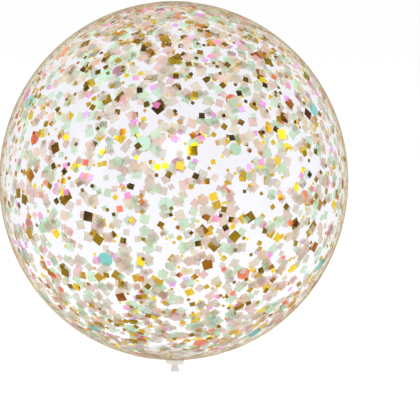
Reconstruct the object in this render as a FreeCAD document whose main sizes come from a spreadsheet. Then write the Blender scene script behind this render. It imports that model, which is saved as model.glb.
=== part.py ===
import FreeCAD, Part
import math
import os
import random

import Sketcher

# Clear inflatable beach ball with loose confetti inside, in millimetres.
# The film is four gores welded along fine seams, with a disc over each pole. A push-in inflation
# valve hangs from the bottom pole, shown pulled out. +Z runs from the valve to the top pole, and the
# origin is on that axis, half way down the stem, where a hand grips the ball.

os.makedirs("parts", exist_ok=True)
doc = FreeCAD.newDocument("beach_ball")

SIZES = {
    "ball_diameter": 400.0,
    "ball_tall": 411.6,
    "film_wall": 0.3,
    "grip_drop": 14.0,
    "lap_gap": 0.02,
    # seams, the first of which lies at this angle from +X
    "seam_width": 1.6,
    "seam_rise": 0.12,
    "seam_angle": 267.6,
    # discs and openings at the poles
    "top_opening": 6.0,
    "top_disc_radius": 22.0,
    "bottom_opening": 22.6,
    "bottom_disc_radius": 36.0,
    "bottom_disc_hole": 12.6,
    # valve: its heights are measured up from the plug's outer face
    "valve_reach": 20.9,
    "fit_gap": 0.05,
    "flange_radius": 22.2,
    "flange_hole": 12.1,
    "flange_wall": 0.8,
    "cup_radius": 12.0,
    "cup_wall": 0.5,
    "cup_floor": 10.1,
    "stem_radius": 4.5,
    "bore_radius": 3.0,
    "stem_foot": 2.6,
    "stem_top": 12.9,
    "head_radius": 5.6,
    "head_foot": 9.9,
    "edge_round": 0.4,
    # plug and the strap that keeps it
    "plug_radius": 2.95,
    "plug_top": 8.8,
    "plug_lead_in": 0.8,
    "cap_radius": 5.0,
    "cap_thickness": 1.8,
    "ring_thickness": 0.7,
    "ring_radius": 4.8,
    "strap_bend_reach": 7.0,
    "strap_bend_height": 5.45,
    "strap_bend_radius": 3.55,
    "strap_thickness": 0.6,
    "strap_width": 3.0,
    # check flap on the stem's inner end
    "flap_radius": 4.0,
    "flap_thickness": 0.4,
    "flap_hinge_offset": 4.7,
    "flap_knuckle": 0.25,
    "flap_neck_width": 3.0,
    "weld_tab_length": 0.5,
    # confetti
    "flake_thickness": 0.1,
    "flake_depth": 0.45,
    "flake_layer": 0.36,
    "bare_radius": 34.0,
    "foil_large": 10.5,
    "foil_medium": 6.3,
    "foil_small": 3.8,
    "tissue_large": 10.0,
    "tissue_small": 6.8,
    "dot_diameter": 16.5,
}

# Each kind of confetti: its node, the cell with its side or diameter, how many, and whether it is round.
CONFETTI = [
    ("confetti_gold_foil_large", "foil_large", 225, False),
    ("confetti_gold_foil_medium", "foil_medium", 620, False),
    ("confetti_gold_foil_small", "foil_small", 800, False),
    ("confetti_taupe_tissue_large", "tissue_large", 930, False),
    ("confetti_taupe_tissue_small", "tissue_small", 340, False),
    ("confetti_mint_tissue_large", "tissue_large", 500, False),
    ("confetti_mint_tissue_small", "tissue_small", 210, False),
    ("confetti_pink_tissue_large", "tissue_large", 480, False),
    ("confetti_pink_tissue_small", "tissue_small", 200, False),
    ("confetti_magenta_tissue", "tissue_small", 180, False),
    ("confetti_orange_tissue", "tissue_small", 90, False),
    ("confetti_coral_dots", "dot_diameter", 11, True),
    ("confetti_teal_dots", "dot_diameter", 9, True),
    ("confetti_mauve_dots", "dot_diameter", 7, True),
    ("confetti_green_dots", "dot_diameter", 9, True),
]
SCATTER_SEED = 16
# Flakes crowd towards the poles: the share by which they lie closer there than round the middle.
TOP_CROWD = 2.9
BOTTOM_CROWD = 2.1
CROWD_POWER = 3

QUARTER_TURN = 90
CLEAR_OF_BALL = 1.1
SAME_PLACE = 1e-6

sheet = doc.addObject("Spreadsheet::Sheet", "Sizes")
for row, (alias, number) in enumerate(SIZES.items(), start=1):
    sheet.set(f"A{row}", str(number))
    sheet.setAlias(f"A{row}", alias)
doc.recompute()


class Size:
    """A length with its value and the expression that gives it from the sheet."""

    def __init__(self, value, text):
        self.value = value
        self.text = text

    def __add__(self, other):
        return Size(self.value + other.value, f"({self.text} + {other.text})")

    def __sub__(self, other):
        return Size(self.value - other.value, f"({self.text} - {other.text})")

    def __mul__(self, factor):
        return Size(self.value * factor, f"({self.text} * {factor})")


def size(alias):
    """The Size in the sheet's cell of this alias."""
    return Size(SIZES[alias], f"Sizes.{alias}")


nothing = Size(0.0, "0")
ball_radius = size("ball_diameter") * 0.5
pole_radius = size("ball_tall") * 0.5
centre_z = size("grip_drop") + pole_radius
valve_tip_z = size("grip_drop") - size("valve_reach")
gap = size("fit_gap")
upwards = FreeCAD.Vector(0, 0, 1)
upright = FreeCAD.Rotation(FreeCAD.Vector(1, 0, 0), QUARTER_TURN)
sub_parts = []


def bind(thing, **lengths):
    """Bind properties to Sizes. at_x, at_y and at_z are the position's."""
    for name, length in lengths.items():
        path = f".Placement.Base.{name[-1]}" if name.startswith("at_") else name
        thing.setExpression(path, length.text)
    return thing


def primitive(kind, name, **lengths):
    """A Part primitive bound to the sheet."""
    return bind(doc.addObject(f"Part::{kind}", name), **lengths)


def boolean(kind, name, base, tool):
    """A Part::Cut or a Part::Common."""
    thing = doc.addObject(f"Part::{kind}", name)
    thing.Base = base
    thing.Tool = tool
    return thing


def fuse(name, things):
    """One solid from several."""
    thing = doc.addObject("Part::MultiFuse", name)
    thing.Shapes = things
    return thing


def pin(sketch, geometry, end, across, up):
    """Hold a point of a sketch at these distances from its origin."""
    for kind, axis, length in (("DistanceX", -2, across), ("DistanceY", -1, up)):
        if length is nothing:
            sketch.addConstraint(Sketcher.Constraint("PointOnObject", geometry, end, axis))
        else:
            driving = Sketcher.Constraint(kind, -1, 1, geometry, end, length.value)
            number = sketch.addConstraint(driving)
            sketch.setExpression(f"Constraints[{number}]", length.text)


# ---- film: offsets of one ellipse turned about the pole axis ----


def ellipsoid(name, grown):
    """The film's outer surface, grown by this much, as a solid of revolution."""
    wide = ball_radius + grown
    tall = pole_radius + grown
    profile = doc.addObject("Sketcher::SketchObject", f"{name}_profile")
    ellipse = Part.Ellipse(
        FreeCAD.Vector(0, tall.value, 0), FreeCAD.Vector(wide.value, 0, 0), FreeCAD.Vector(0, 0, 0)
    )
    half = Part.ArcOfEllipse(ellipse, 0, math.pi)
    profile.addGeometry(half)
    profile.addGeometry(Part.LineSegment(half.StartPoint, half.EndPoint))
    profile.exposeInternalGeometry(0)
    major_line, minor_line = 2, 3
    profile.addConstraint(
        [
            Sketcher.Constraint("Coincident", 0, 3, -1, 1),
            Sketcher.Constraint("Vertical", major_line),
            Sketcher.Constraint("Coincident", 0, 1, 1, 1),
            Sketcher.Constraint("Coincident", 0, 2, 1, 2),
            Sketcher.Constraint("PointOnObject", 0, 1, -2),
            Sketcher.Constraint("PointOnObject", 0, 2, -2),
        ]
    )
    for line, radius in ((major_line, tall), (minor_line, wide)):
        number = profile.addConstraint(Sketcher.Constraint("Distance", line, 2 * radius.value))
        profile.setExpression(f"Constraints[{number}]", (radius * 2).text)
    profile.Placement = FreeCAD.Placement(FreeCAD.Vector(0, 0, 0), upright)
    bind(profile, at_z=centre_z)
    solid = doc.addObject("Part::Revolution", name)
    solid.Source = profile
    solid.Axis = upwards
    solid.Angle = 360
    solid.Solid = True
    return solid


def wall(name, outer, inner):
    """The closed wall between two of those surfaces."""
    return boolean(
        "Cut", name, ellipsoid(f"{name}_outside", outer), ellipsoid(f"{name}_inside", inner)
    )


def column(name, radius, top):
    """A cylinder on the pole axis, through the upper or the lower half of the ball."""
    tall = pole_radius + size("grip_drop")
    foot = centre_z if top else nothing
    return primitive("Cylinder", name, Radius=radius, Height=tall, at_z=foot)


def open_wall(name, outer, inner, bottom_radius, top_radius):
    """A wall with a round opening at each pole."""
    columns = [
        column(f"{name}_bottom_cutter", bottom_radius, top=False),
        column(f"{name}_top_cutter", top_radius, top=True),
    ]
    closed = wall(f"{name}_closed", outer, inner)
    return boolean("Cut", name, closed, fuse(f"{name}_cutters", columns))


def radial_block(name, number, start_x, start_y, width):
    """A box taller than the ball, lying along the direction of the seam of this number."""
    reach = ball_radius * CLEAR_OF_BALL
    tall = pole_radius * 2 * CLEAR_OF_BALL
    block = doc.addObject("Part::Box", name)
    bind(block, Length=reach, Width=width or reach, Height=tall, at_z=centre_z - tall * 0.5)
    turn = QUARTER_TURN * number
    angle = f"(Sizes.seam_angle + {turn})"
    x, y = start_x.text, start_y.text
    block.Placement.Rotation = FreeCAD.Rotation(upwards, turn)
    block.setExpression(".Placement.Rotation.Angle", angle)
    block.setExpression(".Placement.Base.x", f"{x} * cos({angle}) - {y} * sin({angle})")
    block.setExpression(".Placement.Base.y", f"{x} * sin({angle}) + {y} * cos({angle})")
    return block


def make_gores():
    """Four film panels, each filling the quarter between two seams."""
    film = open_wall(
        "film", nothing, nothing - size("film_wall"), size("bottom_opening"), size("top_opening")
    )
    edge = size("seam_width") * 0.5
    names = ("gore_front_right", "gore_back_right", "gore_back_left", "gore_front_left")
    for number, name in enumerate(names):
        quarter = radial_block(f"{name}_quarter", number, edge, edge, None)
        sub_parts.append(boolean("Common", name, film, quarter))


def make_seams():
    """Four welds of even width, a little thicker than the film, between the pole discs' rims."""
    rise = size("seam_rise")
    weld = open_wall(
        "weld",
        rise,
        nothing - size("film_wall") - rise,
        size("bottom_disc_radius") + gap,
        size("top_disc_radius") + gap,
    )
    width = size("seam_width")
    for number, name in enumerate(("seam_front", "seam_right", "seam_back", "seam_left")):
        slab = radial_block(f"{name}_slab", number, nothing, width * -0.5, width)
        sub_parts.append(boolean("Common", name, weld, slab))


def make_pole_discs():
    """Discs of film lapped over the gores' ends, the lower one with the valve's hole."""
    skin = wall("lap", size("lap_gap") + size("film_wall"), size("lap_gap"))
    top = column("top_disc_outline", size("top_disc_radius"), top=True)
    sub_parts.append(boolean("Common", "top_disc", skin, top))
    rim = column("bottom_disc_outline", size("bottom_disc_radius"), top=False)
    hole = column("bottom_disc_cutter", size("bottom_disc_hole"), top=False)
    ring = boolean("Cut", "bottom_disc_ring", rim, hole)
    sub_parts.append(boolean("Common", "bottom_disc", skin, ring))


# ---- valve: turned pieces on the pole axis, built up from the plug's outer face ----


def new_body(name):
    """A body whose foot is level with the plug's outer face."""
    return bind(doc.addObject("PartDesign::Body", name), at_z=valve_tip_z)


def origin_plane(body, role):
    """One of a body's own origin planes."""
    return next(plane for plane in body.Origin.OriginFeatures if plane.Role == role)


def new_sketch(body, name, role):
    """A sketch on one of the body's origin planes."""
    sketch = body.newObject("Sketcher::SketchObject", name)
    sketch.AttachmentSupport = (origin_plane(body, role), [""])
    sketch.MapMode = "FlatFace"
    return sketch


def outline(sketch, corners):
    """A closed polygon through corners given as (across, up) Sizes."""
    points = [FreeCAD.Vector(across.value, up.value, 0) for across, up in corners]
    ends = points[1:] + points[:1]
    for start, end in zip(points, ends):
        sketch.addGeometry(Part.LineSegment(start, end))
    for number in range(len(corners)):
        following = (number + 1) % len(corners)
        sketch.addConstraint(Sketcher.Constraint("Coincident", number, 2, following, 1))
    for number, (across, up) in enumerate(corners):
        pin(sketch, number, 1, across, up)


def turned(name, corners):
    """A body turned about the pole axis from an outline of (radius, height) corners."""
    body = new_body(name)
    sketch = new_sketch(body, f"{name}_profile", "XZ_Plane")
    outline(sketch, corners)
    turning = body.newObject("PartDesign::Revolution", f"{name}_turning")
    turning.Profile = sketch
    turning.ReferenceAxis = (sketch, ["V_Axis"])
    turning.Angle = 360
    doc.recompute()
    return body


def round_edges(body, rims):
    """Round the circular edges at these (radius, height) places."""
    solid = body.Tip
    wanted = []
    for number, edge in enumerate(solid.Shape.Edges, start=1):
        if not isinstance(edge.Curve, Part.Circle):
            continue
        for radius, up in rims:
            same_radius = abs(edge.Curve.Radius - radius.value) < SAME_PLACE
            if same_radius and abs(edge.Curve.Center.z - up.value) < SAME_PLACE:
                wanted.append(f"Edge{number}")
    if len(wanted) != len(rims):
        raise RuntimeError(f"{body.Name}: {len(wanted)} of {len(rims)} rims found")
    rounding = body.newObject("PartDesign::Fillet", f"{body.Name}_rounding")
    rounding.Base = (solid, wanted)
    rounding.setExpression("Radius", "Sizes.edge_round")
    doc.recompute()


def make_flange():
    """The ring of the valve moulding that is welded inside the bottom disc."""
    sheet_wall = wall("flange_wall", nothing, nothing - size("flange_wall"))
    rim = column("flange_outline", size("flange_radius"), top=False)
    hole = column("flange_cutter", size("flange_hole"), top=False)
    ring = boolean("Cut", "flange_ring", rim, hole)
    sub_parts.append(boolean("Common", "valve_flange", sheet_wall, ring))


def make_cup():
    """The soft cup between flange and stem, which turns inside out as the valve is pushed in."""
    outer = size("cup_radius")
    wall_thickness = size("cup_wall")
    mouth = size("valve_reach") + size("flange_wall")
    floor = size("cup_floor")
    root = size("head_radius") + gap
    corners = [
        (root, floor),
        (outer, floor),
        (outer, mouth),
        (outer - wall_thickness, mouth),
        (outer - wall_thickness, floor + wall_thickness),
        (root, floor + wall_thickness),
    ]
    body = turned("valve_cup", corners)
    round_edges(body, [(outer, floor)])
    sub_parts.append(body)


def make_stem():
    """The stem: a tube with a wider head that carries the cup and the check flap."""
    bore, tube, head = size("bore_radius"), size("stem_radius"), size("head_radius")
    foot, shoulder, top = size("stem_foot"), size("head_foot"), size("stem_top")
    corners = [(bore, foot), (tube, foot), (tube, shoulder), (head, shoulder), (head, top), (bore, top)]
    body = turned("valve_stem", corners)
    round_edges(body, [(tube, foot), (head, shoulder)])
    sub_parts.append(body)


def make_plug():
    """The push-in plug: a cap with a shank that fills the bore."""
    cap, shank = size("cap_radius"), size("plug_radius")
    thickness, tip = size("cap_thickness"), size("plug_top")
    lead = size("plug_lead_in")
    corners = [
        (nothing, nothing),
        (cap, nothing),
        (cap, thickness),
        (shank, thickness),
        (shank, tip - lead),
        (shank - lead * 0.5, tip),
        (nothing, tip),
    ]
    body = turned("valve_plug", corners)
    round_edges(body, [(cap, nothing)])
    sub_parts.append(body)


def make_strap_ring():
    """The eye of the strap, held between the plug's cap and the stem's foot."""
    foot = size("cap_thickness") + gap
    top = foot + size("ring_thickness")
    hole = size("plug_radius") + gap
    rim = size("ring_radius")
    sub_parts.append(turned("strap_ring", [(hole, foot), (rim, foot), (rim, top), (hole, top)]))


def make_strap():
    """The strap's loop: two tongues joined by a half round bend, from the ring to the stem."""
    body = new_body("plug_strap")
    sketch = new_sketch(body, "plug_strap_profile", "XZ_Plane")
    reach, middle = size("strap_bend_reach"), size("strap_bend_height")
    outside = size("strap_bend_radius")
    inside = outside - size("strap_thickness")
    centre = FreeCAD.Vector(reach.value, middle.value, 0)
    for radius in (outside, inside):
        circle = Part.Circle(centre, upwards, radius.value)
        sketch.addGeometry(Part.ArcOfCircle(circle, -math.pi / 2, math.pi / 2))
    tongues = (
        (2, 1, size("stem_radius") + gap, 1.0),
        (5, 0, size("ring_radius") + gap, -1.0),
    )
    sketch.addConstraint(Sketcher.Constraint("Coincident", 0, 3, 1, 3))
    for number, radius in enumerate((outside, inside)):
        length = sketch.addConstraint(Sketcher.Constraint("Radius", number, radius.value))
        sketch.setExpression(f"Constraints[{length}]", radius.text)
    pin(sketch, 0, 3, reach, middle)
    for first, upper, root, way in tongues:
        end = 2 if upper else 1
        outer_y = centre.y + way * outside.value
        inner_y = centre.y + way * inside.value
        start = FreeCAD.Vector(root.value, outer_y, 0)
        finish = FreeCAD.Vector(root.value, inner_y, 0)
        sketch.addGeometry(Part.LineSegment(start, FreeCAD.Vector(reach.value, outer_y, 0)))
        sketch.addGeometry(Part.LineSegment(start, finish))
        sketch.addGeometry(Part.LineSegment(finish, FreeCAD.Vector(reach.value, inner_y, 0)))
        sketch.addConstraint(
            [
                Sketcher.Constraint("Coincident", first, 2, 0, end),
                Sketcher.Constraint("Coincident", first + 2, 2, 1, end),
                Sketcher.Constraint("Coincident", first, 1, first + 1, 1),
                Sketcher.Constraint("Coincident", first + 1, 2, first + 2, 1),
                Sketcher.Constraint("Horizontal", first),
                Sketcher.Constraint("Vertical", first + 1),
                Sketcher.Constraint("Horizontal", first + 2),
                Sketcher.Constraint("Vertical", 0, end, 0, 3),
                Sketcher.Constraint("Vertical", 1, end, 0, 3),
            ]
        )
        across = sketch.addConstraint(
            Sketcher.Constraint("DistanceX", -1, 1, first + 1, 1, root.value)
        )
        sketch.setExpression(f"Constraints[{across}]", root.text)
    band = body.newObject("PartDesign::Pad", "plug_strap_band")
    band.Profile = sketch
    band.Midplane = True
    band.setExpression("Length", "Sizes.strap_width")
    doc.recompute()
    sub_parts.append(body)


def make_check_flap():
    """The flap that shuts the bore from inside, with its hinge line, and the tab welded beside it."""
    seat = valve_tip_z + size("stem_top") + gap
    knuckle = size("flap_knuckle")
    hinge_y = size("flap_hinge_offset")
    neck_width = size("flap_neck_width")
    thickness = size("flap_thickness")
    half_neck = neck_width * -0.5
    disc = primitive("Cylinder", "flap_disc", Radius=size("flap_radius"), Height=thickness, at_z=seat)
    neck = primitive(
        "Box", "flap_neck", Length=neck_width, Width=hinge_y, Height=thickness, at_x=half_neck, at_z=seat
    )
    hinge = doc.addObject("Part::Cylinder", "flap_hinge")
    hinge.Placement.Rotation = FreeCAD.Rotation(FreeCAD.Vector(0, 1, 0), QUARTER_TURN)
    bind(hinge, Radius=knuckle, Height=neck_width, at_x=half_neck, at_y=hinge_y, at_z=seat + knuckle)
    sub_parts.append(fuse("check_flap", [disc, neck, hinge]))
    tab = primitive("Box", "flap_weld_tab", Length=neck_width, Height=thickness, at_x=half_neck)
    bind(tab, Width=size("weld_tab_length"), at_z=valve_tip_z + size("stem_top"))
    bind(tab, at_y=hinge_y + knuckle + gap)
    sub_parts.append(tab)


# ---- confetti: thin flat flakes lying along the inside of the film ----


def flake_pattern(name, alias, is_round):
    """One flake of a kind, centred on its own origin, for the group's copies."""
    across, thickness = size(alias), size("flake_thickness")
    down = thickness * -0.5
    if is_round:
        return primitive("Cylinder", name, Radius=across * 0.5, Height=thickness, at_z=down)
    corner = across * -0.5
    return primitive(
        "Box", name, Length=across, Width=across, Height=thickness, at_x=corner, at_y=corner, at_z=down
    )


def wall_point(turn, cosine, depth):
    """A point inside the film at this depth, and the film's outward direction there."""
    wide = ball_radius.value - SIZES["film_wall"] - depth
    tall = pole_radius.value - SIZES["film_wall"] - depth
    sine = math.sqrt(1 - cosine**2)
    x, y = math.cos(turn) * sine, math.sin(turn) * sine
    point = FreeCAD.Vector(wide * x, wide * y, centre_z.value + tall * cosine)
    outward = FreeCAD.Vector(x / wide, y / wide, cosine / tall)
    return point, outward.normalize()


def first_free_layer(point, reach, taken):
    """The layer nearest the film in which a flake of this reach meets no other."""
    busy = {layer for other, far, layer in taken if point.distanceToPoint(other) < reach + far}
    layer = 0
    while layer in busy:
        layer += 1
    return layer


def is_kept(cosine, chance):
    """Whether a flake drawn evenly over the ball stays, so that more of them lie near the poles."""
    crowd = TOP_CROWD if cosine > 0 else BOTTOM_CROWD
    density = 1 + crowd * abs(cosine) ** CROWD_POWER
    return chance.uniform(0, 1 + max(TOP_CROWD, BOTTOM_CROWD)) < density


def scatter_confetti():
    """Places for every flake of every kind, in an order that mixes the kinds."""
    chance = random.Random(SCATTER_SEED)
    order = [kind for kind in CONFETTI for _ in range(kind[2])]
    chance.shuffle(order)
    places = {kind[0]: [] for kind in CONFETTI}
    taken = []
    for name, alias, _, is_round in order:
        reach = SIZES[alias] * (0.5 if is_round else math.sqrt(0.5))
        while True:
            turn, cosine = chance.uniform(0, 2 * math.pi), chance.uniform(-1, 1)
            point, outward = wall_point(turn, cosine, SIZES["flake_depth"])
            beside_axis = math.hypot(point.x, point.y) - reach
            if (cosine > 0 or beside_axis > SIZES["bare_radius"]) and is_kept(cosine, chance):
                break
        layer = first_free_layer(point, reach, taken)
        taken.append((point, reach, layer))
        depth = SIZES["flake_depth"] + layer * SIZES["flake_layer"]
        point, outward = wall_point(turn, cosine, depth)
        spin = FreeCAD.Rotation(upwards, chance.uniform(0, 360))
        places[name].append(
            FreeCAD.Placement(point, FreeCAD.Rotation(upwards, outward).multiply(spin))
        )
    return places


def make_confetti():
    """One group of separate flakes for each kind."""
    places = scatter_confetti()
    for name, alias, _, is_round in CONFETTI:
        pattern = flake_pattern(f"{name}_pattern", alias, is_round)
        doc.recompute()
        flakes = []
        for place in places[name]:
            flake = pattern.Shape.copy()
            flake.Placement = place.multiply(flake.Placement)
            flakes.append(flake)
        group = doc.addObject("Part::Feature", name)
        group.Shape = Part.makeCompound(flakes)
        group.Placement = FreeCAD.Placement()
        sub_parts.append(group)


make_gores()
make_seams()
make_pole_discs()
make_flange()
make_cup()
make_stem()
make_plug()
make_strap_ring()
make_strap()
make_check_flap()
make_confetti()
doc.recompute()

for thing in doc.Objects:
    if "Invalid" in thing.State or "Error" in thing.State:
        raise RuntimeError(f"{thing.Name} did not rebuild: {thing.State}")
for thing in sub_parts:
    thing.Label = thing.Name
    if thing.Shape.isNull() or not thing.Shape.isValid() or not thing.Shape.Solids:
        raise RuntimeError(f"{thing.Label} has no valid solid")
for thing in sub_parts:
    thing.Shape.exportStep(f"parts/{thing.Label}.step")
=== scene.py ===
import math
import random

import bmesh
import bpy
from mathutils import Matrix, Vector, kdtree, noise


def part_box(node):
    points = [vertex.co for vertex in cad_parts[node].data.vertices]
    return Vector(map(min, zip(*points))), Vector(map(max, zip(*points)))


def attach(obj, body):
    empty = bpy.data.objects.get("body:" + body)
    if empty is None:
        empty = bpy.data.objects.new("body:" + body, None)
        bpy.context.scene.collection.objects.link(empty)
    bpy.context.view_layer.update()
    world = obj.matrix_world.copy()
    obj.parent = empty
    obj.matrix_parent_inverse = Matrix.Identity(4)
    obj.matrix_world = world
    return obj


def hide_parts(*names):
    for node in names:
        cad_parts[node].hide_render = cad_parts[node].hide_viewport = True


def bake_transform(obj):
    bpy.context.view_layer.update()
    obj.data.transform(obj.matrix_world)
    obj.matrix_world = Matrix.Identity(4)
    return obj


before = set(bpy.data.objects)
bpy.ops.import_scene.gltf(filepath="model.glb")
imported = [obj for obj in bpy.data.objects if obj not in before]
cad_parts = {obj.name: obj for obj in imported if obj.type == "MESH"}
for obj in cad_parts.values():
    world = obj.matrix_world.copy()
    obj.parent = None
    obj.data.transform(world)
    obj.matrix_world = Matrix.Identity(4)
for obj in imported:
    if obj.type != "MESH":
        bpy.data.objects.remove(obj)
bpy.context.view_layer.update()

# Clear inflatable beach ball with loose confetti inside, in metres, in the CAD model's frame.
# The skin is four gores of clear film with a weld between each two and a disc over each pole. The
# valve hangs from the bottom pole. Flakes of foil, tissue and paper cling to the inside of the film.

MM = 0.001
FILM = 0.3 * MM
LAP_GAP = 0.02 * MM
POLE_RADIUS = 205.8 * MM
SEAM_ANGLE = math.radians(267.6)
GORES = ("gore_front_right", "gore_back_right", "gore_back_left", "gore_front_left")
SEAMS = ("seam_front", "seam_right", "seam_back", "seam_left")

BALL_RADIUS = max(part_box(gore)[1].x for gore in GORES)
POLE_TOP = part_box("top_disc")[1].z - LAP_GAP - FILM
CENTRE = Vector((0, 0, POLE_TOP - POLE_RADIUS))


# ---- meshes ----


def new_piece(name, vertices, faces, materials, kinds=None, sharp=math.radians(40)):
    """A mesh object, smooth except at edges sharper than this angle."""
    mesh = bpy.data.meshes.new(name)
    mesh.from_pydata(vertices, [], faces)
    for material in materials:
        mesh.materials.append(material)
    if kinds:
        mesh.polygons.foreach_set("material_index", kinds)
    mesh.validate()
    mesh.shade_smooth()
    mesh.set_sharp_from_angle(angle=sharp)
    piece = bpy.data.objects.new(name, mesh)
    bpy.context.scene.collection.objects.link(piece)
    return piece


def grid_faces(rows, columns, start=0, closed=False, flip=False):
    """Quads of a grid of points given row by row. closed joins each row's end to its start."""
    faces = []
    for row in range(rows - 1):
        for column in range(columns if closed else columns - 1):
            following = (column + 1) % columns
            here = start + row * columns
            above = here + columns
            quad = (here + column, here + following, above + following, above + column)
            faces.append(quad[::-1] if flip else quad)
    return faces


def border(rows, columns):
    """Numbers of a grid's points round its rim, anticlockwise when its first row is lowest."""
    first = list(range(columns))
    right = [row * columns + columns - 1 for row in range(1, rows)]
    last = [(rows - 1) * columns + column for column in range(columns - 2, -1, -1)]
    left = [row * columns for row in range(rows - 2, 0, -1)]
    return first + right + last + left


def plate(outer, inner, rows, columns, start=0):
    """Points and faces of a closed plate between two grids, the outer one facing outwards."""
    count = rows * columns
    faces = grid_faces(rows, columns, start)
    faces += grid_faces(rows, columns, start + count, flip=True)
    rim = border(rows, columns)
    for here, following in zip(rim, rim[1:] + rim[:1]):
        faces.append((start + following, start + here, start + here + count, start + following + count))
    return outer + inner, faces


def lathe(name, profile, material, segments=96, ribs=None):
    """A solid turned from a closed outline of (radius, height) points about the pole axis.

    ribs is (count, depth, lowest, highest): how many notches, how deep, between which heights.
    """
    points, faces, rings = [], [], []
    for radius, height in profile:
        ring = []
        for number in range(segments if radius > 0 else 1):
            turn = 2 * math.pi * number / segments
            reach = radius
            if ribs and ribs[2] <= height <= ribs[3] and radius > 0:
                reach -= ribs[1] * (0.5 + 0.5 * math.cos(ribs[0] * turn))
            ring.append(len(points))
            points.append((reach * math.cos(turn), reach * math.sin(turn), height))
        rings.append(ring)
    for lower, upper in zip(rings, rings[1:] + rings[:1]):
        for number in range(segments):
            following = (number + 1) % segments
            corners = [
                lower[number % len(lower)],
                lower[following % len(lower)],
                upper[following % len(upper)],
                upper[number % len(upper)],
            ]
            face = list(dict.fromkeys(corners))
            if len(face) > 2:
                faces.append(face)
    return new_piece(name, points, faces, [material])


def rounded(corners, radius, steps=4):
    """The outline with each of its corners off the pole axis cut back to a small arc."""
    outline = []
    for before, corner, after in zip(corners[-1:] + corners[:-1], corners, corners[1:] + corners[:1]):
        if corner[0] == 0:
            outline.append(corner)
            continue
        here = Vector(corner)
        back, on = Vector(before) - here, Vector(after) - here
        cut = min(radius, back.length * 0.45, on.length * 0.45)
        start, end = here + back.normalized() * cut, here + on.normalized() * cut
        for step in range(steps + 1):
            share = step / steps
            point = start * (1 - share) ** 2 + here * 2 * share * (1 - share) + end * share**2
            outline.append(tuple(point))
    return outline


# ---- materials ----


class Shader:
    """The node tree of a material or world."""

    def __init__(self, owner):
        self.owner = owner
        owner.use_nodes = True
        self.tree = owner.node_tree
        self.tree.nodes.clear()

    def add(self, kind, inputs=None, output=0, **properties):
        """Add a node and return one of its outputs. inputs gives values or sockets by name or number."""
        node = self.tree.nodes.new(f"ShaderNode{kind}")
        for name, value in properties.items():
            setattr(node, name, value)
        for socket, value in (inputs or {}).items():
            if isinstance(value, bpy.types.NodeSocket):
                self.tree.links.new(value, node.inputs[socket])
            else:
                node.inputs[socket].default_value = value
        return node.outputs[output] if node.outputs else node

    def math(self, operation, first, second):
        return self.add("Math", {0: first, 1: second}, operation=operation)

    def grain(self, scale, detail=2.0, stretch=(1, 1, 1), roughness=0.5):
        """Noise over the piece's own space, scale being its bumps to the metre."""
        place = self.add("TexCoord", output="Object")
        place = self.add("Mapping", {"Vector": place, "Scale": stretch})
        return self.add(
            "TexNoise", {"Vector": place, "Scale": scale, "Detail": detail, "Roughness": roughness}
        )

    def ramp(self, factor, stops):
        """A colour ramp through (place, colour) stops."""
        colour = self.add("ValToRGB", {"Fac": factor})
        elements = colour.node.color_ramp.elements
        while len(elements) < len(stops):
            elements.new(1)
        for element, (place, value) in zip(elements, stops):
            element.position = place
            element.color = value
        return colour

    def shaded(self, colour, factor, low, high):
        """The colour made lighter and darker by a factor that runs from 0 to 1."""
        value = self.add("MapRange", {"Value": factor, "To Min": low, "To Max": high})
        return self.add(
            "Mix", {0: 1.0, 6: colour, 7: value}, output=2, data_type="RGBA", blend_type="MULTIPLY"
        )

    def bump(self, height, strength, distance, normal=None):
        inputs = {"Height": height, "Strength": strength, "Distance": distance}
        if normal:
            inputs["Normal"] = normal
        return self.add("Bump", inputs)

    def blend(self, factor, first, second):
        return self.add("MixShader", {0: factor, 1: first, 2: second})

    def done(self, surface):
        self.add("OutputMaterial", {"Surface": surface})
        return self.owner


def tint(red, green, blue):
    """A colour from its 0 to 255 display values."""
    parts = []
    for value in (red, green, blue):
        share = value / 255
        parts.append(share / 12.92 if share <= 0.04045 else ((share + 0.055) / 1.055) ** 2.4)
    return (*parts, 1.0)


EDGE_GLOSS = 0.22
# Warm grey for the film seen edge on: partly absorption along the slant path, partly painted shade
# standing in for the dark rim line.
RIM_TINT_AND_PAINTED_SHADE = tint(220, 206, 168)
HAZE_TINT = tint(238, 238, 240)


def film_material(name, body, milk, base_gloss, edge_power, roughness, ripple):
    """Clear plastic: see-through face on, glossy where it is seen edge on, and warm grey there, partly
    smoke from the long slant path through the film and partly painted shade for the ball's dark rim
    line.
    """
    shader = Shader(bpy.data.materials.new(name))
    facing = shader.add("LayerWeight", {"Blend": 0.5}, output="Facing")
    rise = shader.math("POWER", facing, edge_power)
    gloss_share = shader.add(
        "MapRange", {"Value": rise, "To Min": base_gloss, "To Max": EDGE_GLOSS}
    )
    # Edge on, the see-through share turns warm grey: partly absorption, partly painted shade for the
    # rim's dark line.
    through = shader.add("Mix", {0: rise, 6: body, 7: RIM_TINT_AND_PAINTED_SHADE}, output=2, data_type="RGBA")
    bump = shader.bump(shader.grain(60.0, 3.0), ripple, 0.4 * MM)
    clear = shader.add("BsdfTransparent", {"Color": through})
    haze = shader.add("BsdfDiffuse", {"Color": HAZE_TINT, "Normal": bump})
    pane = shader.blend(milk, clear, haze)
    gloss = shader.add("BsdfGlossy", {"Roughness": roughness, "Normal": bump})
    return shader.done(shader.blend(gloss_share, pane, gloss))


def soft_plastic(name, colour, clearness, roughness):
    """Translucent moulded vinyl."""
    shader = Shader(bpy.data.materials.new(name))
    grain = shader.grain(900.0, 3.0)
    shade = shader.shaded(colour, grain, 0.94, 1.04)
    bump = shader.bump(grain, 0.12, 0.05 * MM)
    skin = shader.add(
        "BsdfPrincipled",
        {"Base Color": shade, "Roughness": roughness, "IOR": 1.53, "Normal": bump},
    )
    glow = shader.add("BsdfTranslucent", {"Color": shade})
    clear = shader.add("BsdfTransparent", {"Color": tint(247, 247, 250)})
    body = shader.blend(0.4, skin, glow)
    return shader.done(shader.blend(clearness, body, clear))


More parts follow.
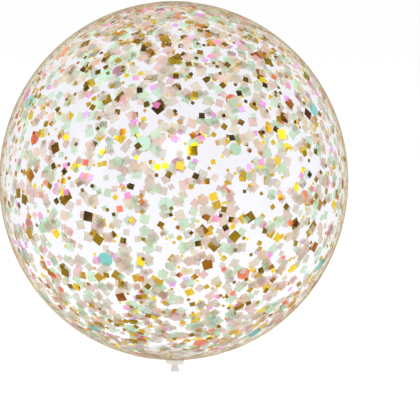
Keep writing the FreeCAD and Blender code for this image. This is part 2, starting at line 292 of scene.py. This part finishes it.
def tissue_material(name, stops, clearness):
    """Thin paper in a colour of its own for each flake, with fibres and a little show-through."""
    shader = Shader(bpy.data.materials.new(name))
    flake = shader.add("NewGeometry", output="Random Per Island")
    colour = shader.ramp(flake, stops)
    fibres = shader.grain(650.0, 4.0, stretch=(1, 1, 3), roughness=0.65)
    shade = shader.shaded(colour, fibres, 0.88, 1.08)
    bump = shader.bump(shader.grain(1400.0, 2.0), 0.25, 0.05 * MM)
    front = shader.add("BsdfDiffuse", {"Color": shade, "Roughness": 0.6, "Normal": bump})
    glow = shader.add("BsdfTranslucent", {"Color": shade, "Normal": bump})
    paper = shader.blend(0.5, front, glow)
    pale = shader.add("Mix", {0: 0.5, 6: shade, 7: tint(255, 255, 255)}, output=2, data_type="RGBA")
    clear = shader.add("BsdfTransparent", {"Color": pale})
    share = shader.add(
        "MapRange", {"Value": fibres, "To Min": clearness - 0.08, "To Max": clearness + 0.08}
    )
    return shader.done(shader.blend(share, paper, clear))


FOIL_LEAN = 0.4


def foil_material(name, stops, roughness, metallic):
    """Metallised film: each flake takes its own gold and its own lean, with faint creases, and painted
    shade and sheen that darken the gold in the creases' hollows and lighten it on their ridges.
    """
    shader = Shader(bpy.data.materials.new(name))
    flake = shader.add("NewGeometry", output="Random Per Island")
    colour = shader.ramp(flake, stops)
    creases_and_crease_shade = shader.grain(260.0, 3.0)
    # Painted shade and sheen: the gold is darker in the creases' hollows and lighter on their ridges,
    # following the same noise as the bump.
    shade = shader.shaded(colour, creases_and_crease_shade, 0.85, 1.1)
    lean = shader.add("TexWhiteNoise", {"W": flake}, output="Color", noise_dimensions="1D")
    lean = shader.add("VectorMath", {0: lean, 1: (0.5, 0.5, 0.5)}, operation="SUBTRACT")
    lean = shader.add("VectorMath", {0: lean, 1: (FOIL_LEAN,) * 3}, operation="MULTIPLY")
    normal = shader.add("NewGeometry", output="Normal")
    normal = shader.add("VectorMath", {0: normal, 1: lean}, operation="ADD")
    normal = shader.add("VectorMath", {0: normal}, operation="NORMALIZE")
    bump = shader.bump(creases_and_crease_shade, 0.35, 0.15 * MM, normal)
    return shader.done(
        shader.add(
            "BsdfPrincipled",
            {"Base Color": shade, "Roughness": roughness, "Metallic": metallic, "Normal": bump},
        )
    )


def even_stops(*colours):
    """Ramp stops with the colours spread evenly."""
    return [(number / (len(colours) - 1), colour) for number, colour in enumerate(colours)]


CLEAR_FILM = film_material(
    "clear_film",
    body=tint(252, 252, 253.5),
    milk=0.003,
    base_gloss=0.009,
    edge_power=9.0,
    roughness=0.05,
    ripple=0.05,
)
WELDED_FILM = film_material(
    "welded_film",
    body=tint(250, 250, 252),
    milk=0.02,
    base_gloss=0.015,
    edge_power=5.0,
    roughness=0.15,
    ripple=0.1,
)
VALVE_VINYL = soft_plastic("valve_vinyl", tint(232, 230, 222), clearness=0.35, roughness=0.28)
FLAP_FILM = soft_plastic("flap_film", tint(240, 240, 240), clearness=0.5, roughness=0.2)
FOIL_MIRROR = foil_material(
    "gold_foil_mirror",
    even_stops(
        tint(208, 166, 0),
        tint(230, 188, 10),
        tint(190, 146, 0),
        tint(236, 178, 0),
        tint(236, 128, 0),
    ),
    roughness=0.12,
    metallic=1.0,
)
# The flakes' inner faces, seen on the ball's far side: a duller back finish and partly painted light,
# their lighter yellows standing in for the light the far flakes catch from behind.
FOIL_SATIN_AND_PAINTED_LIGHT = foil_material(
    "gold_foil_satin_painted_light",
    even_stops(
        tint(190, 152, 20),
        tint(232, 190, 30),
        tint(255, 228, 40),
        tint(200, 160, 24),
        tint(255, 240, 50),
        tint(244, 200, 30),
    ),
    roughness=0.45,
    metallic=0.35,
)

TISSUES = {
    "taupe_tissue": even_stops(
        tint(219, 212, 196),
        tint(226, 219, 206),
        tint(231, 219, 208),
        tint(213, 213, 205),
        tint(237, 228, 202),
    ),
    "mint_tissue": even_stops(
        tint(209, 226, 204),
        tint(219, 234, 215),
        tint(212, 228, 216),
        tint(204, 227, 199),
        tint(225, 236, 212),
    ),
    "pink_tissue": even_stops(
        tint(223, 204, 193),
        tint(229, 213, 202),
        tint(233, 208, 206),
        tint(237, 217, 196),
        tint(220, 206, 197),
    ),
    "magenta_tissue": even_stops(
        tint(246, 190, 234),
        tint(238, 208, 250),
        tint(250, 176, 206),
        tint(242, 164, 230),
        tint(234, 206, 248),
    ),
    "orange_tissue": even_stops(
        tint(254, 140, 80),
        tint(244, 120, 90),
        tint(254, 176, 90),
        tint(240, 124, 104),
        tint(206, 238, 110),
    ),
}
PAPERS = {
    "coral_paper": even_stops(
        tint(246, 168, 128),
        tint(242, 148, 104),
        tint(248, 180, 140),
        tint(226, 140, 158),
    ),
    "teal_paper": even_stops(
        tint(144, 218, 204),
        tint(156, 212, 212),
        tint(134, 214, 200),
    ),
    "mauve_paper": even_stops(
        tint(218, 170, 192),
        tint(228, 160, 184),
        tint(196, 168, 200),
    ),
    "green_paper": even_stops(
        tint(206, 230, 212),
        tint(214, 234, 218),
        tint(198, 226, 204),
    ),
}


# ---- film skin ----


def skin_point(turn, polar, depth):
    """A point this far inside the film's outer face. polar is the angle up from the bottom pole."""
    wide = BALL_RADIUS - depth
    tall = POLE_RADIUS - depth
    reach = wide * math.sin(polar)
    return CENTRE + Vector((reach * math.cos(turn), reach * math.sin(turn), -tall * math.cos(polar)))


def polar_at(radius, top=False):
    """The polar angle where the film is this far from the pole axis."""
    angle = math.asin(radius / BALL_RADIUS)
    return math.pi - angle if top else angle


WELD_HALF = 0.8 * MM
BEAD = 0.12 * MM
# The folds that the grip leaves: where they start, how they fade, and how often they come.
PUCKER_START = 38 * MM
PUCKER_RISE = 6 * MM
PUCKER_FADE = 46 * MM
PUCKER_DEPTH = 0.9 * MM
PUCKERS_ROUND = 7
PUCKERS_ALONG = 9
# The ripples beside a weld.
WELD_DRAW = 0.16 * MM
WELD_DRAW_REACH = 9 * MM
WELD_DRAW_START = 10 * MM
RIPPLE_PITCH = 7 * MM
RIPPLES_ROUND = 3


def pucker(turn, polar, from_weld):
    """How far the film stands outwards: folds running up from the grip, and ripples beside a weld."""
    radius = BALL_RADIUS * math.sin(polar)
    lift = 0.0
    if polar < math.pi / 2 and radius > PUCKER_START:
        fade = math.exp(-(radius - PUCKER_START) / PUCKER_FADE)
        rise = min(1.0, (radius - PUCKER_START) / PUCKER_RISE)
        around = Vector((math.cos(turn), math.sin(turn), 0)) * PUCKERS_ROUND
        fold = noise.noise(around + Vector((0, 0, radius * PUCKERS_ALONG)))
        lift += PUCKER_DEPTH * fade * rise * max(0.0, fold) ** 1.5 * 2
    along = polar * POLE_RADIUS / RIPPLE_PITCH
    across = Vector((0, math.cos(turn), math.sin(turn))) * RIPPLES_ROUND
    ripple = 0.5 + 0.5 * noise.noise(Vector((along, 0, 0)) + across)
    near = math.exp(-((from_weld / WELD_DRAW_REACH) ** 2))
    ends = min(1.0, max(0.0, (radius - PUCKER_START) / WELD_DRAW_START))
    return lift + WELD_DRAW * ripple * near * ends


def make_gore(number, name):
    """One panel of film from weld to weld, with its two faces and its cut edges."""
    rows, columns = 150, 45
    bottom, top = polar_at(22.6 * MM), polar_at(6.0 * MM, top=True)
    outer, inner = [], []
    for row in range(rows):
        polar = bottom + (top - bottom) * row / (rows - 1)
        radius = BALL_RADIUS * math.sin(polar)
        edge = math.asin(WELD_HALF / radius)
        start = SEAM_ANGLE + number * math.pi / 2 + edge
        width = math.pi / 2 - 2 * edge
        for column in range(columns):
            share = column / (columns - 1)
            turn = start + width * share
            from_weld = min(share, 1 - share) * width * radius
            lift = pucker(turn, polar, from_weld)
            outer.append(skin_point(turn, polar, -lift))
            inner.append(skin_point(turn, polar, FILM - lift))
    points, faces = plate(outer, inner, rows, columns)
    gore = new_piece(name + "_film", points, faces, [CLEAR_FILM])
    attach(gore, "skin")
    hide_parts(name)


def make_seam(number, name):
    """One weld: a flat ribbon through the film, ribbed across by the welding bar."""
    rows, columns = 900, 5
    rows_in_a_rib = 4
    rib = 0.07 * MM
    bottom, top = polar_at(36.05 * MM), polar_at(22.05 * MM, top=True)
    middle = SEAM_ANGLE + number * math.pi / 2
    outer, inner = [], []
    for row in range(rows):
        polar = bottom + (top - bottom) * row / (rows - 1)
        radius = BALL_RADIUS * math.sin(polar)
        notch = rib * (0.5 + 0.5 * math.cos(row * 2 * math.pi / rows_in_a_rib))
        for column in range(columns):
            share = column / (columns - 1) * 2 - 1
            turn = middle + math.asin(share * WELD_HALF / radius)
            crown = (BEAD - notch) * (1 - share**4)
            lift = pucker(turn, polar, 0.0)
            outer.append(skin_point(turn, polar, -crown - lift))
            inner.append(skin_point(turn, polar, FILM + crown - lift))
    points, faces = plate(outer, inner, rows, columns)
    weld = new_piece(name + "_weld", points, faces, [WELDED_FILM])
    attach(weld, "skin")
    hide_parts(name)


def skin_profile(inner_radius, outer_radius, top, outside, inside, ridges, steps):
    """The section of a disc or ring that follows the film, with round ridges at these radii."""
    ridge_half = 0.9 * MM
    sides = []
    for depth, way in ((outside, -1), (inside, 0)):
        side = []
        for step in range(steps + 1):
            radius = inner_radius + (outer_radius - inner_radius) * step / steps
            nearest = min((abs(radius - ridge) for ridge, _ in ridges), default=1.0)
            height = ridges[0][1] if ridges else 0.0
            bead = height * max(0.0, 1 - (nearest / ridge_half) ** 2) * way
            point = skin_point(0.0, polar_at(radius, top), depth + bead)
            side.append((max(0.0, point.x) if radius > 0 else 0.0, point.z))
        sides.append(side)
    return sides[0] + sides[1][::-1]


def make_pole_discs():
    """The film disc lapped over each pole, with the weld's raised rings."""
    lap = {"outside": -LAP_GAP - FILM, "inside": -LAP_GAP}
    top_rings = [(20 * MM, BEAD), (17.5 * MM, BEAD)]
    top = skin_profile(0.0, 22 * MM, True, ridges=top_rings, steps=88, **lap)
    bottom_rings = [(15 * MM, BEAD), (20 * MM, BEAD), (31 * MM, BEAD), (34 * MM, BEAD)]
    bottom = skin_profile(12.6 * MM, 36 * MM, False, ridges=bottom_rings, steps=94, **lap)
    for name, profile in (("top_disc", top), ("bottom_disc", bottom)):
        disc = lathe(name + "_film", profile, WELDED_FILM, segments=128)
        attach(disc, "skin")
        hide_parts(name)


# ---- valve ----

BEVEL = 0.25 * MM
stem_low, stem_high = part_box("valve_stem")
plug_low, plug_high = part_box("valve_plug")
ring_low, ring_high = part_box("strap_ring")
cup_low, cup_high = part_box("valve_cup")
strap_low, strap_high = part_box("plug_strap")
flap_low, flap_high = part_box("check_flap")
tab_low, tab_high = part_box("flap_weld_tab")


def valve_piece(piece, node, body):
    """Put a finished valve piece on its body, in place of its CAD node."""
    if body:
        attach(piece, body)
    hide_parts(node)


def make_flange():
    """The moulded ring under the bottom disc."""
    ring = skin_profile(
        12.1 * MM, 22.2 * MM, False, outside=0.0, inside=0.8 * MM, ridges=[], steps=24
    )
    valve_piece(lathe("valve_flange_moulding", ring, VALVE_VINYL), "valve_flange", "skin")


def make_cup():
    """The soft cup: a fixed thin cone from the flange to the stem's head. On the real valve it rolls
    inside out.
    """
    mouth, root = cup_high.x - 0.02 * MM, stem_high.x + 0.05 * MM
    waist, corner = 11.0 * MM, 1.6 * MM
    thick = 0.5 * MM
    floor_steps, wall_steps = 8, 28
    outside, inside = [], []
    floor, lip = cup_low.z, cup_high.z
    flat = waist - corner
    for step in range(floor_steps + 1):
        radius = root + (flat - root) * step / floor_steps
        outside.append((radius, floor))
        inside.append((radius, floor + thick))
    small = corner - thick
    for step in range(1, floor_steps + 1):
        angle = math.pi / 2 * step / floor_steps
        out, up = math.sin(angle), 1 - math.cos(angle)
        outside.append((flat + corner * out, floor + corner * up))
        inside.append((flat + small * out, floor + thick + small * up))
    start = floor + corner
    for step in range(1, wall_steps + 1):
        share = step / wall_steps
        radius = waist + (mouth - waist) * share
        height = start + (lip - start) * share
        outside.append((radius, height))
        inside.append((radius - thick, height))
    cup = lathe("valve_cup_membrane", outside + inside[::-1], VALVE_VINYL)
    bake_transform(cup)
    valve_piece(cup, "valve_cup", None)


def make_stem():
    """The blowing tube with its head, a rolled lip at the foot and a bead under the head."""
    bore, tube, head = 3.0 * MM, 4.5 * MM, stem_high.x
    foot, top = stem_low.z, stem_high.z
    shoulder = top - 3.0 * MM
    lip, bead = 0.25 * MM, 0.3 * MM
    outline = [
        (bore, foot + 0.3 * MM),
        (bore + 0.3 * MM, foot),
        (tube, foot),
        (tube, foot + 1.2 * MM),
        (tube - lip, foot + 1.7 * MM),
        (tube - lip, shoulder - 1.4 * MM),
        (tube, shoulder - bead),
        (tube, shoulder),
        (head, shoulder),
        (head, top),
        (bore, top),
    ]
    piece = lathe("valve_stem_moulding", rounded(outline, BEVEL), VALVE_VINYL)
    valve_piece(piece, "valve_stem", "stem")


def make_plug():
    """The stopper: a cap with a finger-grip rim and a dished face, and a ringed shank."""
    cap, shank = plug_high.x, 2.95 * MM
    foot, tip = plug_low.z, plug_high.z
    brim = foot + 1.8 * MM
    neck = shank - 0.12 * MM
    outline = [
        (0.0, foot + 0.35 * MM),
        (cap * 0.55, foot + 0.3 * MM),
        (cap * 0.72, foot),
        (cap, foot),
        (cap, brim),
        (shank, brim),
        (shank, brim + 2.2 * MM),
        (neck, brim + 2.5 * MM),
        (neck, brim + 3.1 * MM),
        (shank, brim + 3.4 * MM),
        (shank, tip - 0.8 * MM),
        (shank - 0.4 * MM, tip),
        (0.0, tip),
    ]
    profile = rounded(outline, BEVEL)
    grip = (36, 0.14 * MM, foot + 0.2 * MM, brim - 0.1 * MM)
    piece = lathe("valve_plug_moulding", profile, VALVE_VINYL, segments=180, ribs=grip)
    valve_piece(piece, "valve_plug", "plug")


def make_strap_ring():
    """The eye of the strap, round the plug's shank."""
    hole = 3.0 * MM
    outline = [
        (hole, ring_low.z),
        (ring_high.x, ring_low.z),
        (ring_high.x, ring_high.z),
        (hole, ring_high.z),
    ]
    piece = lathe("strap_ring_moulding", rounded(outline, 0.2 * MM), VALVE_VINYL)
    valve_piece(piece, "strap_ring", "plug")


def make_strap():
    """The strap's loop from the stem down to the ring, a flat band with rounded edges."""
    half_width, half_thick = 1.5 * MM, 0.3 * MM
    upper, lower = strap_high.z - half_thick, strap_low.z + half_thick
    radius = (upper - lower) / 2
    bend_x = strap_high.x - half_thick - radius
    middle = (upper + lower) / 2
    stem_x, ring_x = 4.55 * MM, 4.85 * MM
    run_steps, bend_steps = 4, 24
    path = []
    for step in range(run_steps):
        path.append((stem_x + (bend_x - stem_x) * step / run_steps, upper, math.pi / 2))
    for step in range(bend_steps + 1):
        angle = math.pi / 2 - math.pi * step / bend_steps
        path.append((bend_x + radius * math.cos(angle), middle + radius * math.sin(angle), angle))
    for step in range(1, run_steps + 1):
        path.append((bend_x + (ring_x - bend_x) * step / run_steps, lower, -math.pi / 2))
    section = rounded([(1, -1), (1, 1), (-1, 1), (-1, -1)], 0.5, steps=3)
    points = []
    for x, z, angle in path:
        for across, out in section:
            reach = out * half_thick
            place = (x + reach * math.cos(angle), across * half_width, z + reach * math.sin(angle))
            points.append(place)
    count = len(section)
    faces = grid_faces(len(path), count, closed=True)
    faces.append(tuple(range(count))[::-1])
    faces.append(tuple(range(len(points) - count, len(points))))
    strap = new_piece("plug_strap_band", points, faces, [VALVE_VINYL])
    fix_normals(strap)
    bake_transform(strap)
    valve_piece(strap, "plug_strap", None)


def fix_normals(piece):
    """Turn a closed piece's faces to look outwards."""
    mesh = bmesh.new()
    mesh.from_mesh(piece.data)
    bmesh.ops.recalc_face_normals(mesh, faces=mesh.faces)
    mesh.to_mesh(piece.data)
    mesh.free()


def slab(name, outline, low, high, material, bevel):
    """A flat plate of this outline of (x, y) points between two heights, its rims bevelled."""
    mesh = bmesh.new()
    base = mesh.faces.new([mesh.verts.new((x, y, low)) for x, y in outline])
    raised = bmesh.ops.extrude_face_region(mesh, geom=[base])["geom"]
    lifted = [part for part in raised if isinstance(part, bmesh.types.BMVert)]
    bmesh.ops.translate(mesh, vec=(0, 0, high - low), verts=lifted)
    rims = [edge for edge in mesh.edges if abs(edge.verts[0].co.z - edge.verts[1].co.z) < bevel]
    bmesh.ops.bevel(mesh, geom=rims, offset=bevel, segments=2, affect="EDGES")
    bmesh.ops.recalc_face_normals(mesh, faces=mesh.faces)
    piece = new_piece(name, [], [], [material])
    mesh.to_mesh(piece.data)
    mesh.free()
    piece.data.shade_smooth()
    piece.data.set_sharp_from_angle(angle=math.radians(40))
    return piece


def make_check_flap():
    """The film flap over the bore, with its neck to the hinge, and the welded tab beyond it."""
    disc, neck = flap_high.x, 1.5 * MM
    join = math.acos(neck / disc)
    outline = [(neck, flap_high.y), (-neck, flap_high.y)]
    steps = 44
    sweep = 2 * math.pi - (math.pi - 2 * join)
    for step in range(steps + 1):
        angle = math.pi - join + sweep * step / steps
        outline.append((disc * math.cos(angle), disc * math.sin(angle)))
    flap = slab("check_flap_film", outline, flap_low.z, flap_high.z - 0.1 * MM, FLAP_FILM, 0.08 * MM)
    valve_piece(flap, "check_flap", "flap")
    corners = [
        (tab_low.x, tab_low.y),
        (tab_high.x, tab_low.y),
        (tab_high.x, tab_high.y),
        (tab_low.x, tab_high.y),
    ]
    tab = slab("flap_weld_tab_film", corners, tab_low.z, tab_high.z, WELDED_FILM, 0.06 * MM)
    valve_piece(tab, "flap_weld_tab", "stem")


# ---- confetti ----

FLAKE_THICKNESS = 0.1 * MM
FLAKE_STEPS_PER_METRE = 450
DOT_STEPS = 11
SKEW = 0.05
CURL_SEED = 7
TISSUE_CLEARNESS = 0.55
PAPER_CLEARNESS = 0.25
# Of the free flakes, a draw from 0 to 1 below the first number curls one up, below the second creases
# it, and below the third tilts it off the film.
CURLED_BELOW = 0.10
CREASED_BELOW = 0.16
TILTED_BELOW = 0.40
SLIGHT_CURL = (0.0, 0.12 * MM)
CURL = (1.0 * MM, 2.6 * MM)
CREASE_DEGREES = (25, 65)
TILT_DEGREES = {"stiff": (3, 16), "soft": (3, 9)}


class Flake:
    """One flake as the CAD model places it: its centre, its outward direction and a corner."""

    def __init__(self, node, vertices, faces):
        self.node = node
        self.centre = sum((vertex.co for vertex in vertices), Vector()) / len(vertices)
        flat = max(faces, key=lambda face: face.calc_area()).normal.copy()
        self.outward = flat if flat.dot(self.centre - CENTRE) > 0 else -flat
        corner = vertices[0].co - self.centre
        corner = corner - self.outward * corner.dot(self.outward)
        self.reach = corner.length
        self.corner = corner.normalized()
        from_centre = self.centre - CENTRE
        level = Vector((from_centre.x, from_centre.y)).length / BALL_RADIUS
        self.depth = 1 - math.hypot(level, from_centre.z / POLE_RADIUS)
        self.free = True


def read_flakes(node):
    """The flakes of a CAD node, one for each loose part of its mesh."""
    mesh = bmesh.new()
    mesh.from_mesh(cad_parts[node].data)
    bmesh.ops.remove_doubles(mesh, verts=mesh.verts, dist=0.001 * MM)
    flakes, seen = [], set()
    for first in mesh.verts:
        if first in seen:
            continue
        seen.add(first)
        part, waiting = [first], [first]
        while waiting:
            vertex = waiting.pop()
            for edge in vertex.link_edges:
                other = edge.other_vert(vertex)
                if other not in seen:
                    seen.add(other)
                    part.append(other)
                    waiting.append(other)
        faces = {face for vertex in part for face in vertex.link_faces}
        part.sort(key=lambda vertex: vertex.co[:])
        faces = sorted(faces, key=lambda face: face.calc_center_median()[:])
        flakes.append(Flake(node, part, faces))
    mesh.free()
    flakes.sort(key=lambda flake: [round(value, 6) for value in flake.centre])
    return flakes


def mark_free(flakes):
    """A flake is free to curl if no other lies over it on the ball's inner side."""
    tree = kdtree.KDTree(len(flakes))
    for number, flake in enumerate(flakes):
        tree.insert(flake.centre, number)
    tree.balance()
    widest = max(flake.reach for flake in flakes)
    for number, flake in enumerate(flakes):
        for _, other, distance in tree.find_range(flake.centre, flake.reach + widest):
            over = flakes[other]
            if other != number and distance < flake.reach + over.reach and over.depth > flake.depth:
                flake.free = False


def disc_point(u, v):
    """A point of the unit disc for a point of the square from -1 to 1."""
    return u * math.sqrt(1 - v * v / 2), v * math.sqrt(1 - u * u / 2)


def flake_shape(flake, chance, stiff, steps):
    """A function of (x, y) that gives how far the flake stands inwards of its flat place there.

    A crease lies along one of the rows of a square flake's grid, of which there are this many.
    """
    way = chance.uniform(0, math.pi)
    mood = chance.random()
    creased = flake.free and steps and CURLED_BELOW <= mood < CREASED_BELOW
    if creased:
        way = math.pi / 4 + math.pi / 2 * chance.randrange(4)
    across = Vector((math.cos(way), math.sin(way)))
    slight = chance.uniform(*SLIGHT_CURL) / flake.reach**2
    tilt = 0.0
    curl = 0.0
    crease = None
    if flake.free and mood < CURLED_BELOW:
        curl = chance.uniform(*CURL) / flake.reach**2
    elif creased:
        row = chance.randint(steps // 2, steps - 2)
        place = flake.reach / math.sqrt(2) * (2 * row / (steps - 1) - 1)
        crease = (place, math.tan(math.radians(chance.uniform(*CREASE_DEGREES))))
    elif flake.free and mood < TILTED_BELOW:
        degrees = TILT_DEGREES["stiff" if stiff else "soft"]
        tilt = math.tan(math.radians(chance.uniform(*degrees)))

    def stand(x, y):
        along = x * across.x + y * across.y
        inwards = (x * x + y * y) / (2 * BALL_RADIUS) + (slight + curl) * along * along
        if crease and along > crease[0]:
            inwards += (along - crease[0]) * crease[1]
        return inwards + tilt * (along + flake.reach)

    return stand


def square_point(u, v, skew):
    """A corner-on square's point for a point of the square from -1 to 1, cut a little out of true."""
    u, v = (
        u * (1 + skew[0] * v) + skew[2] * v * 0.5,
        v * (1 + skew[1] * u) + skew[3] * u * 0.5,
    )
    return (u - v) / math.sqrt(2), (u + v) / math.sqrt(2)


def make_flakes(node, flakes, is_round, outside, inside, slot, chance):
    """All flakes of one kind as one piece: thin curved plates, two faces and a cut edge each."""
    widest = max(flake.reach for flake in flakes)
    steps = DOT_STEPS if is_round else 3 + round(FLAKE_STEPS_PER_METRE * widest)
    lift = Vector((0, 0, FLAKE_THICKNESS / 2))
    points, faces, kinds = [], [], []
    for flake in flakes:
        side = flake.corner.cross(flake.outward)
        place = Matrix((flake.corner, -side, flake.outward)).transposed()
        half = flake.reach if is_round else flake.reach / math.sqrt(2)
        stand = flake_shape(flake, chance, slot == "gold_foil", 0 if is_round else steps)
        skew = [chance.uniform(-SKEW, SKEW) for _ in range(4)]
        grid = []
        for row in range(steps):
            for column in range(steps):
                u, v = column / (steps - 1) * 2 - 1, row / (steps - 1) * 2 - 1
                x, y = disc_point(u, v) if is_round else square_point(u, v, skew)
                x, y = x * half, y * half
                grid.append(Vector((x, y, -stand(x, y))))
        outer = [flake.centre + place @ (point + lift) for point in grid]
        inner = [flake.centre + place @ (point - lift) for point in grid]
        more_points, more_faces = plate(outer, inner, steps, steps, len(points))
        points += more_points
        faces += more_faces
        front = (steps - 1) ** 2
        kinds += [0] * front + [1] * (len(more_faces) - front)
    piece = new_piece(node + "_flakes", points, faces, [outside, inside], kinds)
    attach(piece, "skin")
    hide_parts(node)


def make_confetti():
    """Every kind of confetti, each from its CAD node."""
    kinds = {}
    for node in sorted(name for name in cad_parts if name.startswith("confetti_")):
        kinds[node] = read_flakes(node)
    mark_free([flake for flakes in kinds.values() for flake in flakes])
    chance = random.Random(CURL_SEED)
    # Outer faces show on the ball's near side. The satin faces, with their painted light, show on the
    # far side.
    looks = {"gold_foil": (FOIL_MIRROR, FOIL_SATIN_AND_PAINTED_LIGHT)}
    for slot, stops in TISSUES.items():
        looks[slot] = (tissue_material(slot, stops, TISSUE_CLEARNESS),) * 2
    for slot, stops in PAPERS.items():
        looks[slot] = (tissue_material(slot, stops, PAPER_CLEARNESS),) * 2
    for node, flakes in kinds.items():
        is_round = node.endswith("_dots")
        words = node.removeprefix("confetti_").split("_")
        slot = words[0] + "_paper" if is_round else "_".join(words[:2])
        outside, inside = looks[slot]
        make_flakes(node, flakes, is_round, outside, inside, slot, chance)


# ---- studio ----

FLOOR_HEIGHT = -0.35
FLOOR_REACH = 40.0


def make_floor():
    """A plain pale floor well below the ball, which is held up in the air."""
    shader = Shader(bpy.data.materials.new("studio_floor"))
    pale = shader.add("BsdfDiffuse", {"Color": (0.82, 0.82, 0.82, 1.0)})
    below = shader.add("NewGeometry", output="Backfacing")
    material = shader.done(shader.blend(below, pale, shader.add("BsdfTransparent")))
    corners = []
    for x, y in ((-1, -1), (1, -1), (1, 1), (-1, 1)):
        corners.append((x * FLOOR_REACH, y * FLOOR_REACH, FLOOR_HEIGHT))
    floor = new_piece("studio_floor", corners, [(0, 1, 2, 3)], [material])
    floor.visible_glossy = False


WORLD_STRENGTH = 1.5


def make_world():
    """A white studio. Glossy pieces mirror a darker one: dim ground, brighter patches and backdrop."""
    world = bpy.data.worlds.new("studio")
    bpy.context.scene.world = world
    shader = Shader(world)
    way = shader.add("TexCoord", output="Generated")
    up = shader.add("SeparateXYZ", {0: way}, output="Z")
    back = shader.add("SeparateXYZ", {0: way}, output="Y")
    patches = shader.add("TexNoise", {"Vector": way, "Scale": 3.2, "Detail": 1.0})

    def glow_over(value, start, full, strength):
        ends = {"From Min": start, "From Max": full, "To Max": strength}
        return shader.add("MapRange", {"Value": value, **ends})

    ground = glow_over(up, -0.3, -0.9, 0.4)
    patches = glow_over(patches, 0.4, 0.62, 0.62)
    backdrop = glow_over(back, 0.15, 0.8, 0.9)
    glow = shader.math("ADD", shader.math("ADD", ground, patches), shader.math("ADD", backdrop, 0.05))
    mirrored = shader.add("Background", {"Strength": glow})
    around = shader.add("Background", {"Strength": WORLD_STRENGTH})
    glossy = shader.add("LightPath", output="Is Glossy Ray")
    shader.add("OutputWorld", {"Surface": shader.blend(glossy, around, mirrored)})


def softbox(name, place, size, watts, mirrored=True):
    """A square area light aimed at the ball, which glossy faces mirror or not."""
    data = bpy.data.lights.new(name, "AREA")
    data.size = size
    data.energy = watts
    lamp = bpy.data.objects.new(name, data)
    lamp.location = place
    lamp.rotation_euler = (CENTRE - Vector(place)).to_track_quat("-Z", "Y").to_euler()
    lamp.visible_camera = False
    lamp.visible_glossy = mirrored
    bpy.context.scene.collection.objects.link(lamp)


LOOK_DOWN = math.radians(10.0)
CAMERA_DISTANCE = 2.0
LENS_MM = 148.84
AIM_RIGHT = 41.26 * MM
AIM_DOWN = 33.23 * MM


def make_camera():
    """The camera, a little above the ball, with the ball left of and above the picture's middle."""
    data = bpy.data.cameras.new("camera")
    data.sensor_width = 36.0
    data.lens = LENS_MM
    data.clip_end = 100.0
    camera = bpy.data.objects.new("camera", data)
    back = Vector((0, -math.cos(LOOK_DOWN), math.sin(LOOK_DOWN)))
    up = Vector((0, math.sin(LOOK_DOWN), math.cos(LOOK_DOWN)))
    aim = CENTRE + Vector((AIM_RIGHT, 0, 0)) - up * AIM_DOWN
    camera.location = CENTRE + back * CAMERA_DISTANCE
    camera.rotation_euler = (aim - camera.location).to_track_quat("-Z", "Y").to_euler()
    bpy.context.scene.collection.objects.link(camera)
    bpy.context.scene.camera = camera


make_camera()
make_world()
make_floor()
softbox("overhead_softbox", (-0.3, -0.2, 2.2), 1.4, 18, mirrored=False)
softbox("left_softbox", (-1.9, -1.2, 0.9), 1.0, 9)
softbox("right_softbox", (2.0, -0.6, 0.7), 1.0, 7)
softbox("front_fill", (-0.15, -1.9, 1.32), 1.4, 18, mirrored=False)
softbox("front_softbox", (0.0, -1.95, 1.2), 0.7, 9)
bpy.context.scene.view_settings.view_transform = "Standard"
bpy.context.scene.cycles.transparent_max_bounces = 48

for number, name in enumerate(GORES):
    make_gore(number, name)
for number, name in enumerate(SEAMS):
    make_seam(number, name)
make_pole_discs()
make_flange()
make_cup()
make_stem()
make_plug()
make_strap_ring()
make_strap()
make_check_flap()
make_confetti()
